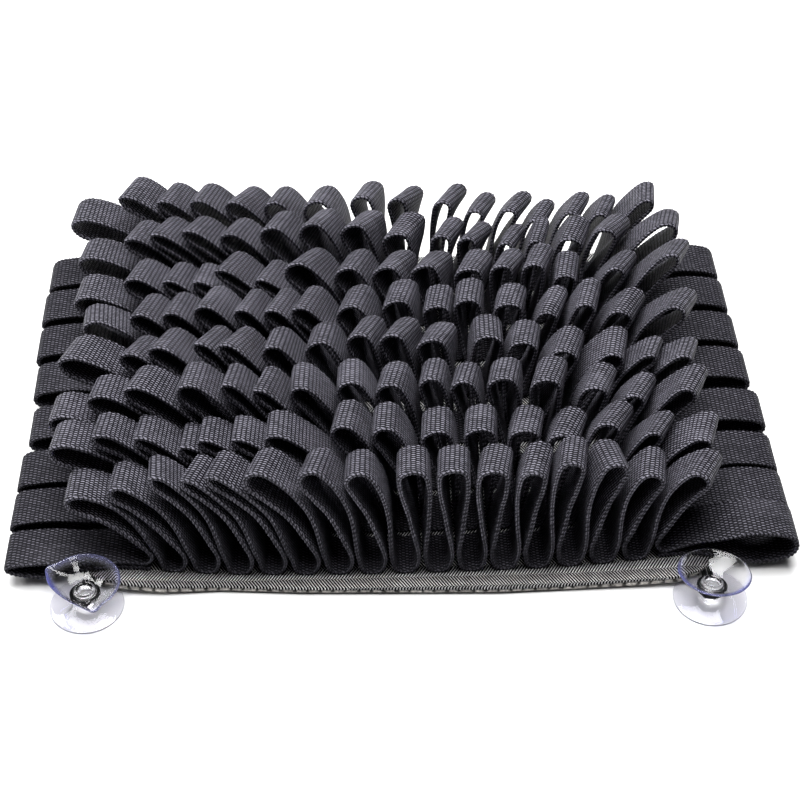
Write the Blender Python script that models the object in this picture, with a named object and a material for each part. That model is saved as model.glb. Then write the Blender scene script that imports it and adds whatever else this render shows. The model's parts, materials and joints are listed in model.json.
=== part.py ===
"""Snuffle mat: rows of webbing loops sewn on a felt-backed tweed base, with two
double-sided suction cups held at the front corners by elastic loops.

Metres, +Z up. X runs along the straps, the front of the mat faces -Y and the
floor is z = 0. Lengths in the tables are in millimetres.
"""

import math

import bmesh
import bpy
from mathutils import Vector

MM = 0.001

# Webbing straps
WEB_WIDTH = 25.0
WEB_THICK = 2.6
SEAMS = 17  # places across the mat where a strap is sewn down
SEAM_PITCH = 16.75
FIRST_SEAM = -131.5
SEAM_HALF = 3.6  # half the length of strap that lies flat at a seam
NECK_HEIGHT = 15.0  # where the two legs of a loop come together
NECK_HALF = 1.75
TURN_UNDER = 5.5  # the strap's end, sewn in under its outer seam
LAYER_GAP = 0.85  # room between two layers of strap
# How a leg opens from the neck to the crown: share of the way up, share of the
# half width at the crown.
LEG_SHAPE = ((0.0, 0.0), (0.38, 0.55), (0.74, 1.0), (0.95, 0.78))
NECK_LEAN, NECK_RISE = 0.18, 0.55  # a loop rises steeply first and leans later
BACK_LEAN, BACK_FROM, BACK_BEND = 5.5, 22.0, 24.0  # and bends back a little over its neck
# Top leg of a side loop: share of the way out, share of the loop's height.
SIDE_TOP = ((0.82, 0.93), (0.60, 1.0), (0.36, 0.72), (0.17, 0.47))
SIDE_DROOP = ((0.2, 0.0), (0.44, 0.0), (0.68, 1.0), (0.87, 0.55))

# Base
FELT_THICK = 2.6
CLOTH_THICK = 1.6
SEAT = 0.3  # room between pieces that rest on each other
BASE_HALF = 159.0
BASE_BACK = 146.3
BASE_STEPS_X, BASE_STEPS_Y = 24, 13
BASE_CLOSING = 1.5  # grid lines lie closer together towards the front
# The front edge bulges forward. Along X, then Y.
FRONT_EDGE = ((-159, -107), (-151, -112.6), (-138, -115.5), (-120, -117), (-91, -116),
              (-50, -118.8), (0, -120.3), (50, -121.6), (100, -120.2), (139, -119.4),
              (152, -115.6), (159, -110))
CORNER_RADIUS = 12.0  # back corners
CORNER_LIFT = 2.9  # the front corners ride on the lower suction discs
LIFT_REACH = 78.0
LIFT_Y = -113.0

# Suction cups
CUPS = {"left": (-157.5, -122.8), "right": (155.0, -127.7)}
CUP_SIDES = 28
# Radius and height of the turned outline, from the hollow underside out to the
# lower rim, up the neck, out to the upper rim and back to the middle.
CUP_OUTLINE = ((0, 1.3), (8, 1.1), (14, 0.6), (18.2, 0.0), (18.5, 0.5), (14, 1.5), (8, 2.2),
               (4.75, 2.9), (4.75, 10.2), (8, 11.0), (11, 12.5), (14, 14.4), (17, 16.5),
               (18.4, 17.8), (18.6, 18.3), (17, 17.6), (14, 15.6), (11, 13.8), (8, 12.4),
               (4.6, 11.8), (4.2, 12.7), (3.4, 12.7), (3.0, 11.9), (0, 11.8))

# Elastic loops
ELASTIC_THICK = 2.8
RING_RADIUS = 4.75 + SEAT + ELASTIC_THICK / 2
RING_FRONT_Z, RING_BACK_Z = 7.6, 5.6
TAIL_LENGTH = 14.0  # how far the two ends run into the base
NOTCH_HALF = 4.3  # the felt is cut away round the two ends
NOTCH_DEEP = 22.0  # from the ring's middle line back

# One row per strap, front to back. y is its middle and bow how far it bulges
# forward in mid mat. left and right are its side loops: reach from the mat's
# middle, height and droop. Then one column per loop, left to right: crown is
# where the loop's top stands along X, twist how much farther right its back
# edge stands than its front edge, tip how much higher its front edge stands than
# its back edge, top its height and half its half width.
STRAPS = (
    dict(y=-96.3, bow=5, left=(199.5, 6.4, 3.2, 0.2), right=(202, 16.2, 4.4),
         crown=(-163.5, -141.5, -122, -103, -91, -71.5, -44.5, -22.5, 5.5, 26.5, 48, 69, 87, 106.5, 129, 156),
         twist=(0, 1, -2, 7, 6, 6, 5, 1, 1, 2, 5, 7, 5, -3, 5, 12),
         tip=(4, 5, 9, 6, 6, 7, 8, 8, 6, 7, 6, 3, 6, 6, 5, 6),
         top=(50, 54, 62, 63, 66, 67, 68, 67, 69, 69, 68, 67, 71, 67, 57, 54),
         half=(5, 5, 4, 3, 3, 6.5, 6.5, 6.5, 7, 7, 7, 6, 6, 6, 6.5, 6.5)),
    dict(y=-68.3, bow=4, left=(200, 9, 2.4), right=(202, 13, 2.6),
         crown=(-172.5, -150.9, -129.8, -107.9, -98.3, -81.8, -64.5, -29, -9, 18, 41, 66, 88, 112, 136, 160.5),
         twist=(1, 1, 1, 1, 1, 1, 1, 4, 2, 2, 3, 6, 10, 13, 12, 8),
         tip=(5, 7, 7, 7, 7, 7, 6, 5, 5, 6, 6, 6, 5, 9, 9, 2),
         top=(59, 64.9, 63.6, 58.2, 63.1, 63.9, 66, 73, 71, 68, 69, 67, 63, 67, 58, 55),
         half=(6.5, 4, 3, 3, 3, 3, 5, 6, 6, 7, 7, 7, 7, 6.5, 4.5, 4.5)),
    dict(y=-39.3, bow=3, left=(200, 9.5, 2.2), right=(202, 12, 2.4),
         crown=(-177, -155, -134, -108, -86, -69, -51.5, -26, -4, 17.5, 34, 54.5, 79, 107, 129.5, 157),
         twist=(1, 2, 6, 3, 3, 6, 1, 1, 5, 4, 5, 5, 8, 10, 12, 11),
         tip=(6, 8, 7, 6, 8, 6, 5, 6, 6, 8, 9, 8, 6, 6, 8, 5),
         top=(52, 65, 71, 73, 74, 71, 72, 75, 73, 76, 73, 75, 74, 67, 59, 63),
         half=(6.5, 5.5, 5.5, 6.5, 3.5, 3, 5.5, 6.5, 6.5, 5.5, 5.5, 7, 7, 6.5, 5.5, 5.5)),
    dict(y=-4.8, bow=2, left=(198, 10, 2.2), right=(202, 11.5, 2.2),
         crown=(-172, -138.5, -123, -98.5, -85, -65, -40.5, -16.5, 1.5, 21.5, 50.5, 71, 95.5, 121.5, 141, 160),
         twist=(6, 8, 8, 10, 11, 4, 4, 9, 11, 9, 1, 5, 8, 6, 8, 8),
         tip=(6, 9, 8, 9, 9, 8, 7, 8, 9, 9, 6, 6, 5, 2, 9, 9),
         top=(62, 63, 68, 71, 70, 68, 71, 76, 75, 71, 74, 69, 62, 59, 55, 54),
         half=(6.5, 5, 5, 3, 3, 5.5, 7, 6, 6, 7, 7, 7, 7, 6, 3.5, 4)),
    dict(y=30.2, bow=1, left=(199.5, 11, 2.0), right=(199.5, 11.5, 2.0),
         crown=(-166.5, -136.5, -119.5, -101, -80, -63.5, -48.5, -23, 3, 24.5, 41, 65.5, 89.5, 109, 132, 162.5),
         twist=(-2, 7, 6, 8, 8, 9, 9, 7, 6, 4, 4, 6, 10, 7, 13, 12),
         tip=(9, 6, 6, 6, 6, 5, 5, 5, 5, 5, 5, 6, 2, 2, 5, 8),
         top=(55, 62, 63, 67, 65, 65, 66, 66, 70, 66, 70, 66, 61, 66, 58, 58),
         half=(6.5, 5, 4.5, 5.5, 4, 4, 4.5, 7, 7, 6.5, 6.5, 7, 5, 5, 6.5, 6.5)),
    dict(y=61.7, bow=0, left=(201.5, 11, 2.0), right=(198.5, 11, 2.0),
         crown=(-174, -143, -122, -106.5, -91, -70, -50.5, -23.5, 0, 22, 47, 66, 83, 99.5, 132, 162),
         twist=(2, 6, 6, 4, 10, 9, 12, 9, 13, 12, 10, 11, 9, 5, 12, 11),
         tip=(4, 6, 7, 7, 7, 6, 9, 6, 7, 9, 6, 8, 5, 2, 8, 9),
         top=(48, 61, 60, 59, 67, 60, 68, 66, 66, 66, 65, 66, 68, 61, 62, 70),
         half=(6.5, 5.5, 3, 3, 3, 3, 7, 7, 7, 7, 7, 5.5, 5.5, 5.5, 5, 5)),
    dict(y=93.2, bow=0, left=(202, 11, 2.2), right=(197.5, 11, 2.0),
         crown=(-174.5, -144.5, -129, -111.5, -90, -66.5, -42.5, -17, 8, 34.5, 50, 71.5, 87, 108.5, 130.5, 163.5),
         twist=(2, 7, 9, 8, 8, 8, 10, 13, 13, 11, 14, 11, 7, 9, 14, 6),
         tip=(6, 6, 7, 9, 8, 7, 8, 8, 3, 6, 8, 6, 2, 3, 9, 9),
         top=(50, 65, 68, 69, 66, 70, 72, 71, 67, 64, 61, 58, 61, 61, 64, 66),
         half=(6.5, 4.5, 3.5, 3.5, 5, 6.5, 7, 7, 7, 5, 4.5, 3.5, 3.5, 6.5, 6.5, 6.5)),
    dict(y=123.7, bow=0, left=(201, 10.5, 2.0), right=(196.5, 11, 2.0),
         crown=(-181, -149, -127.5, -109, -86.5, -66, -42, -13, 10.5, 38, 56.5, 77.5, 92.5, 113, 129.5, 154),
         twist=(2, 8, 8, 7, 12, 7, 7, 7, 13, 10, 7, 11, 11, 10, 9, 4),
         tip=(3, 4, 5, 6, 7, 7, 7, 7, 9, 6, 6, 6, 4, 4, 5, 5),
         top=(55, 73, 69, 68, 66, 65, 65, 69, 66, 65, 58, 58, 51, 56, 54, 63),
         half=(6.5, 4, 3.5, 4.5, 4.5, 5.5, 7, 7, 7, 7, 7, 6, 4.5, 4.5, 4, 4)),
)

CLOTH_UNDER = FELT_THICK + SEAT
SEAM_Z = CLOTH_UNDER + CLOTH_THICK + SEAT + WEB_THICK / 2  # middle of the strap at a seam
OUTER_SEAM_Z = SEAM_Z + WEB_THICK + LAYER_GAP  # it lies on its own turned end


def clean_scene():
    for old in list(bpy.data.objects):
        bpy.data.objects.remove(old, do_unlink=True)


def material(name, colour, roughness, metallic=0.0):
    mat = bpy.data.materials.new(name)
    mat.use_nodes = True
    shader = mat.node_tree.nodes["Principled BSDF"]
    shader.inputs["Base Color"].default_value = (*colour, 1.0)
    shader.inputs["Roughness"].default_value = roughness
    shader.inputs["Metallic"].default_value = metallic
    return mat


def ease(t):
    t = max(0.0, min(1.0, t))
    return t * t * (3.0 - 2.0 * t)


def between(table, x):
    """Smooth value at x between a table's pairs."""
    for (xa, ya), (xb, yb) in zip(table, table[1:]):
        if x <= xb:
            return ya + (yb - ya) * (max(0.0, x - xa) / (xb - xa))
    return table[-1][1]


def lift(x, y):
    """How far the front corners ride up on the lower suction discs."""
    far = math.hypot(max(0.0, BASE_HALF - 4.0 - abs(x)), y - LIFT_Y)
    return CORNER_LIFT * (1.0 - ease(far / LIFT_REACH))


def bow(strap, x):
    """Sideways drift of a strap: forward in mid mat, back at its outer seams."""
    wide = min(1.0, abs(x) / 140.0)
    drift = strap["bow"] * (wide * wide - 0.4)
    return drift * (1.0 - ease((abs(x) - 140.0) / 30.0))


def lean_back(height):
    """How far back a strap stands at this height."""
    return BACK_LEAN * ease((height - BACK_FROM) / BACK_BEND)


def seam_x(number):
    return FIRST_SEAM + SEAM_PITCH * number


def upright_loop(number, crown, top, half):
    """Middle line of one standing loop in X and Z, from seam to seam."""
    foot_x = (seam_x(number) + seam_x(number + 1)) / 2
    neck = Vector((foot_x, NECK_HEIGHT))
    peak = Vector((crown, top - WEB_THICK / 2))
    bend = Vector((foot_x + NECK_LEAN * (crown - foot_x), NECK_HEIGHT + NECK_RISE * (top - NECK_HEIGHT)))
    left, right = [], []
    for along, open_share in LEG_SHAPE:
        spot = (1 - along) ** 2 * neck + 2 * along * (1 - along) * bend + along ** 2 * peak
        way = ((1 - along) * (bend - neck) + along * (peak - bend)).normalized()
        side = Vector((-way.y, way.x)) * (NECK_HALF + (half - NECK_HALF) * open_share)
        left.append(spot + side)
        right.append(spot - side)
    first_z = OUTER_SEAM_Z if number == 0 else SEAM_Z
    last_z = OUTER_SEAM_Z if number == SEAMS - 2 else SEAM_Z
    start = Vector((seam_x(number) + SEAM_HALF, first_z))
    end = Vector((seam_x(number + 1) - SEAM_HALF, last_z))
    return [start, *left, peak, *reversed(right), end]


def side_loop(sign, reach, height, droop, throat=1.0):
    """Middle line of the loop that lies outward, from the strap's end to the seam.

    throat is how far it stands open over the mat's edge, 1 for a free loop.
    """
    root = abs(seam_x(0) if sign < 0 else seam_x(SEAMS - 1))
    length = reach - root
    tip = reach - WEB_THICK / 2
    line = [(root - TURN_UNDER, SEAM_Z)]
    line += [(root + length * out, SEAM_Z - droop * share) for out, share in SIDE_DROOP]
    line += [(tip - 1.6, SEAM_Z + 0.06 * height), (tip, SEAM_Z + 0.4 * height), (tip - 2.6, SEAM_Z + 0.74 * height)]
    for out, share in SIDE_TOP:
        low = SEAM_Z + WEB_THICK + LAYER_GAP
        if out < 0.5:
            share *= throat
        line.append((root + length * out, max(low, SEAM_Z + share * height)))
    line.append((root + 1.0, OUTER_SEAM_Z))
    return [Vector((sign * x, z)) for x, z in line]


def strap_line(strap, across):
    """The strap's middle line; across is 0 at its front edge and 1 at its back."""
    line = side_loop(-1, *strap["left"])
    for number in range(SEAMS - 1):
        crown = strap["crown"][number] + strap["twist"][number] * (across - 0.5)
        top = strap["top"][number] - strap["tip"][number] * (across - 0.5)
        line += upright_loop(number, crown, top, strap["half"][number])
    return line + side_loop(1, *strap["right"])[::-1]


def build_strap(name, strap, mat):
    """A two-edged strip, given its thickness by a Solidify modifier."""
    mesh = bmesh.new()
    rails = []
    for across in (0.0, 1.0):
        rail = []
        for spot in strap_line(strap, across):
            y = strap["y"] + (across - 0.5) * WEB_WIDTH + bow(strap, spot.x) + lean_back(spot.y)
            rail.append(mesh.verts.new(Vector((spot.x, y, spot.y + lift(spot.x, y))) * MM))
        rails.append(rail)
    for near_a, near_b, far_a, far_b in zip(rails[0], rails[0][1:], rails[1], rails[1][1:]):
        mesh.faces.new((near_a, near_b, far_b, far_a))
    piece = finish(name, mesh, mat)
    thicken(piece, WEB_THICK)
    return piece


def thicken(piece, thick):
    solid = piece.modifiers.new("thickness", "SOLIDIFY")
    solid.thickness = thick * MM
    solid.offset = 0.0
    solid.use_even_offset = True
    solid.use_rim = True


def finish(name, mesh, mat):
    bmesh.ops.recalc_face_normals(mesh, faces=mesh.faces)
    data = bpy.data.meshes.new(name)
    mesh.to_mesh(data)
    mesh.free()
    piece = bpy.data.objects.new(name, data)
    bpy.context.collection.objects.link(piece)
    data.materials.append(mat)
    return piece


def base_x(step):
    """Grid lines along X, closer together near the rounded corners."""
    t = 2.0 * step / BASE_STEPS_X - 1.0
    return BASE_HALF * (1.25 * t - 0.25 * t ** 3)


def base_spot(column, row):
    x = base_x(column)
    front = between(FRONT_EDGE, x)
    over = max(0.0, abs(x) - (BASE_HALF - CORNER_RADIUS)) / CORNER_RADIUS
    back = BASE_BACK - CORNER_RADIUS * (1.0 - math.sqrt(max(0.0, 1.0 - over * over)))
    y = front + (back - front) * (row / BASE_STEPS_Y) ** BASE_CLOSING
    return x, y


def build_base(name, under, thick, mat):
    mesh = bmesh.new()
    grid = []
    for row in range(BASE_STEPS_Y + 1):
        line = []
        for column in range(BASE_STEPS_X + 1):
            x, y = base_spot(column, row)
            line.append(mesh.verts.new(Vector((x, y, under + thick / 2 + lift(x, y))) * MM))
        grid.append(line)
    for low, high in zip(grid, grid[1:]):
        for a, b, c, d in zip(low, low[1:], high[1:], high):
            mesh.faces.new((a, b, c, d))
    piece = finish(name, mesh, mat)
    thicken(piece, thick)
    return piece


def cut_notch(felt, side, x, y):
    """Takes the felt away round the sewn-in ends of an elastic loop."""
    mesh = bmesh.new()
    bmesh.ops.create_cube(mesh, size=1.0)
    for vert in mesh.verts:
        vert.co = Vector((x + 2 * NOTCH_HALF * vert.co.x, y + NOTCH_DEEP * (vert.co.y + 0.5) + RING_RADIUS, 20 * vert.co.z)) * MM
    cutter = finish("notch_" + side, mesh, felt.data.materials[0])
    cutter.hide_render = True
    cutter.display_type = "WIRE"
    cut = felt.modifiers.new("notch " + side, "BOOLEAN")
    cut.operation = "DIFFERENCE"
    cut.solver = "EXACT"
    cut.object = cutter


def build_cup(name, x, y, mat):
    """A turned body: its outline goes once round the upright axis."""
    mesh = bmesh.new()
    rings = []
    for radius, height in CUP_OUTLINE:
        if radius == 0:
            rings.append([mesh.verts.new(Vector((x, y, height)) * MM)])
            continue
        ring = []
        for side in range(CUP_SIDES):
            turn = 2.0 * math.pi * side / CUP_SIDES
            ring.append(mesh.verts.new(Vector((x + radius * math.cos(turn), y + radius * math.sin(turn), height)) * MM))
        rings.append(ring)
    for low, high in zip(rings, rings[1:]):
        for side in range(CUP_SIDES):
            after = (side + 1) % CUP_SIDES
            if len(low) == 1:
                mesh.faces.new((low[0], high[side], high[after]))
            elif len(high) == 1:
                mesh.faces.new((low[side], low[after], high[0]))
            else:
                mesh.faces.new((low[side], low[after], high[after], high[side]))
    return finish(name, mesh, mat)


def elastic_line(x, y):
    """Round the neck and back, its two ends side by side in the base."""
    apart = ELASTIC_THICK / 2 + 0.2
    start = math.asin(apart / RING_RADIUS) * 1.9
    tail = []
    for step in range(4):
        back = RING_RADIUS + 2.6 + (TAIL_LENGTH - 2.6) * (3 - step) / 3
        tail.append((apart, back, lift(x, y + back) + CLOTH_UNDER - SEAT - ELASTIC_THICK / 2 - 0.05))
    ring = []
    for step in range(17):
        turn = start + (2 * math.pi - 2 * start) * step / 16
        side, back = RING_RADIUS * math.sin(turn), RING_RADIUS * math.cos(turn)
        height = RING_BACK_Z + (RING_FRONT_Z - RING_BACK_Z) * (0.5 - 0.5 * math.cos(turn))
        ring.append((side, back, height))
    line = tail + ring + [(-side, back, height) for side, back, height in reversed(tail)]
    return [Vector((x + side, y + back, height)) * MM for side, back, height in line]


def build_elastic(name, x, y, mat):
    curve = bpy.data.curves.new(name, "CURVE")
    curve.dimensions = "3D"
    curve.bevel_depth = ELASTIC_THICK / 2 * MM
    curve.bevel_resolution = 2
    curve.use_fill_caps = True
    line = elastic_line(x, y)
    spline = curve.splines.new("POLY")
    spline.points.add(len(line) - 1)
    for point, spot in zip(spline.points, line):
        point.co = (*spot, 1.0)
    piece = bpy.data.objects.new(name, curve)
    bpy.context.collection.objects.link(piece)
    curve.materials.append(mat)
    return piece


def main():
    clean_scene()
    webbing = material("charcoal webbing", (0.085, 0.083, 0.095), 0.85)
    tweed = material("herringbone tweed", (0.25, 0.25, 0.26), 0.9)
    felt_grey = material("grey felt", (0.2, 0.19, 0.18), 0.95)
    clear = material("clear vinyl", (0.8, 0.82, 0.9), 0.15)
    black = material("black elastic", (0.015, 0.015, 0.016), 0.7)
    for number, strap in enumerate(STRAPS, 1):
        build_strap("strap_%d" % number, strap, webbing)
    felt = build_base("base_felt", 0.0, FELT_THICK, felt_grey)
    build_base("base_cloth", CLOTH_UNDER, CLOTH_THICK, tweed)
    for side, (x, y) in CUPS.items():
        cut_notch(felt, side, x, y)
        build_cup("suction_cup_" + side, x, y, clear)
        build_elastic("elastic_loop_" + side, x, y, black)


main()
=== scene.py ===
"""Snuffle mat: the looks.

Eight lengths of ribbed webbing are sewn down in standing loops on a herringbone
tweed sheet with a felt backing. Two clear double-sided suction cups are held at
the front corners by black elastic. Tables and working sizes are in millimetres,
the meshes in metres. X runs along the straps and the front of the mat faces -Y.
"""

import json
import math

import bpy
import numpy as np
from bpy.props import FloatProperty, FloatVectorProperty, PointerProperty
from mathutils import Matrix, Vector


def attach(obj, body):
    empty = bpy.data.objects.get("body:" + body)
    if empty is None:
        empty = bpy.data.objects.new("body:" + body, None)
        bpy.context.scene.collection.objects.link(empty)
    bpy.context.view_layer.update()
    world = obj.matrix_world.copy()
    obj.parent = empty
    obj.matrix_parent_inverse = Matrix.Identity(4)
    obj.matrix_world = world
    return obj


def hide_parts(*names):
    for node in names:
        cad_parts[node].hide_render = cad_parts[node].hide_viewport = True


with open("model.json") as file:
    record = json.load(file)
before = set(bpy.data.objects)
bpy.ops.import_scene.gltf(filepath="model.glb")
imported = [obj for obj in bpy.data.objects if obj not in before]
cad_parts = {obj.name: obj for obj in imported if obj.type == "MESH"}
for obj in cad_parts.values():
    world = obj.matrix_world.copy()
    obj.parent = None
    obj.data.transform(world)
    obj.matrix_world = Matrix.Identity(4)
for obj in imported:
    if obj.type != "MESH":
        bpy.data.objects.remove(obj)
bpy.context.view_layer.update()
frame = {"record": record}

bl_info = {
    "name": "Snuffle Mat",
    "version": (1, 0, 0),
    "blender": (4, 5, 0),
    "location": "View3D > Sidebar > Snuffle Mat",
    "description": "Builds a snuffle mat of webbing loops on a tweed base with two suction cups",
    "category": "Object",
}

SLOT_COLOURS = {m["slot"]: tuple(m["base_color"][:3]) for m in frame["record"]["materials"]}
MM = 0.001

# Layout of the straps, which their solids share
SEAMS = 17  # places across the mat where a strap is sewn down
SEAM_PITCH = 16.75
FIRST_SEAM = -131.5
SEAM_HALF = 3.6  # half the length of strap that lies flat at a seam
NECK_HEIGHT = 15.0  # where the two legs of a loop come together
NECK_HALF = 1.75
TURN_UNDER = 5.5  # the strap's end, sewn in under its outer seam
SOLID_WIDTH, SOLID_THICK = 25.0, 2.6
LAYER_GAP = 0.85  # between the two layers at an outer seam
# A leg of a standing loop: share of the way up, and share of the loop's half width
LEG_SHAPE = ((0.0, 0.0), (0.38, 0.55), (0.74, 1.0), (0.95, 0.78))
NECK_LEAN, NECK_RISE = 0.18, 0.55  # where a leg bends: share of its way across and up
# How far a strap leans back, from which height up, and over how much more height
BACK_LEAN, BACK_FROM, BACK_BEND = 5.5, 22.0, 24.0
# Half the length of a strap's bow, the share of it that is taken off, and how far past its end it fades
BOW_HALF, BOW_LEVEL, BOW_FADE = 140.0, 0.4, 30.0
# A side loop, from its lower layer round its tip to its upper one: share of its
# length with share of its droop, distance in from the tip with share of its
# height, and share of its length with share of its height.
SIDE_DROOP = ((0.2, 0.0), (0.44, 0.0), (0.68, 1.0), (0.87, 0.55))
SIDE_TURN = ((1.6, 0.06), (0.0, 0.4), (2.6, 0.74))
SIDE_TOP = ((0.82, 0.93), (0.60, 1.0), (0.36, 0.72), (0.17, 0.47))
SIDE_FOOT = 1.0  # how far past its seam the upper layer comes down
THROAT_TO = 0.5  # the throat reaches out to this share of the length

# Layout of the base
FELT_THICK, CLOTH_THICK, SEAT = 2.6, 1.6, 0.3
BASE_HALF, BASE_BACK = 159.0, 146.3
FRONT_EDGE = ((-159, -107), (-151, -112.6), (-138, -115.5), (-120, -117), (-91, -116),
              (-50, -118.8), (0, -120.3), (50, -121.6), (100, -120.2), (139, -119.4),
              (152, -115.6), (159, -110))
CORNER_RADIUS = 12.0
# How far the front corners lift, how far in from there, and where: in Y and from the sides
CORNER_LIFT, LIFT_REACH, LIFT_Y, LIFT_INSET = 2.9, 78.0, -113.0, 4.0
CLOTH_UNDER = FELT_THICK + SEAT
SEAM_Z = CLOTH_UNDER + CLOTH_THICK + SEAT + SOLID_THICK / 2
OUTER_SEAM_Z = SEAM_Z + SOLID_THICK + LAYER_GAP
NOTCH_HALF, NOTCH_DEEP = 4.3, 22.0  # where the felt leaves room for an elastic's ends
SIDE_CROWDING, FRONT_CROWDING = 0.25, 1.3  # how much closer the grid lies at the edges
CUT_EDGE = 0.72  # share of the thickness that is left at a cut edge
TWEED_GRID, TWEED_RIPPLE = (200, 120), 0.03
FELT_GRID, FELT_RIPPLE = (220, 130), 0.0

# Layout of the cups and their elastic
CUPS = {"left": (-157.5, -122.8), "right": (155.0, -127.7)}
NECK_RADIUS, DISC_RADIUS = 4.75, 18.5
ELASTIC_THICK, ELASTIC_EASE = 2.8, 0.05
ELASTIC_SIDES, ELASTIC_STEP, ELASTIC_SPAN_STEPS = 20, 0.5, 8
BRAID_PITCH = 10.0
RING_RADIUS = NECK_RADIUS + SEAT + ELASTIC_THICK / 2
RING_FRONT_Z, RING_BACK_Z = 8.9, 7.3  # a little higher up the neck than the solids
RING_STEPS, RING_OPEN = 16, 1.9  # points round the neck, and how far its ends stand open
TAIL_LENGTH, TAIL_FROM, TAIL_STEPS, TAILS_APART = 14.0, 2.6, 3, 0.4

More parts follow.
